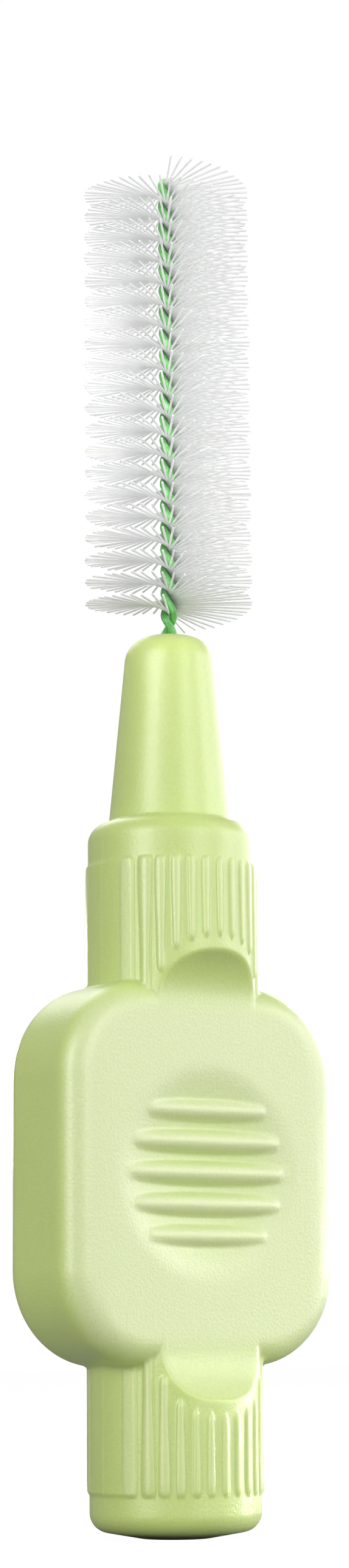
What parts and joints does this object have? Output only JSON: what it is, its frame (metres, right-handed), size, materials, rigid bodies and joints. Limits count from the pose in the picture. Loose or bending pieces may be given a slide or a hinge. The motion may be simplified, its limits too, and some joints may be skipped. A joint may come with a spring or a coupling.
{
  "type": "interdental brush",
  "caption": "Slim interdental brush: moulded handle with a ribbed barrel, flat thumb paddle and tapered neck, and a twisted coated wire that clamps spiral fans of filaments.",
  "frame": {"origin": "on the axis, at the flat underside of the foot", "axes": "+Z along the stem to the tip of the brush, X across the width of the paddle, -Y out of the front face of the paddle"},
  "size_m": [0.0104, 0.0056, 0.0455],
  "materials": {
    "lime_plastic": "finely textured injection moulding, pale lime green",
    "green_coating": "thin smooth polymer skin, leaf green",
    "wire_steel": "bright drawn wire",
    "nylon_filament": "white translucent nylon with rounded ends"
  },
  "bodies": {
    "grip": {"handle": "lime_plastic"},
    "brush_head": {"steel_wire": "wire_steel", "wire_coating": "green_coating", "bristle_fan_01": "nylon_filament", "bristle_fan_02": "nylon_filament", "bristle_fan_03": "nylon_filament", "bristle_fan_04": "nylon_filament", "bristle_fan_05": "nylon_filament", "bristle_fan_06": "nylon_filament", "bristle_fan_07": "nylon_filament", "bristle_fan_08": "nylon_filament", "bristle_fan_09": "nylon_filament", "bristle_fan_10": "nylon_filament", "bristle_fan_11": "nylon_filament", "bristle_fan_12": "nylon_filament", "bristle_fan_13": "nylon_filament", "bristle_fan_14": "nylon_filament", "bristle_fan_15": "nylon_filament", "bristle_fan_16": "nylon_filament", "bristle_fan_17": "nylon_filament", "bristle_fan_18": "nylon_filament", "bristle_fan_19": "nylon_filament", "bristle_fan_20": "nylon_filament"}
  },
  "joints": [
    {"name": "neck_bend", "type": "hinge", "parent": "grip", "child": "brush_head", "pos_m": [0, 0, 0.02962], "axis": [1, 0, 0], "range_deg": [-20, 20], "deforming": ["steel_wire", "wire_coating"]}
  ]
}
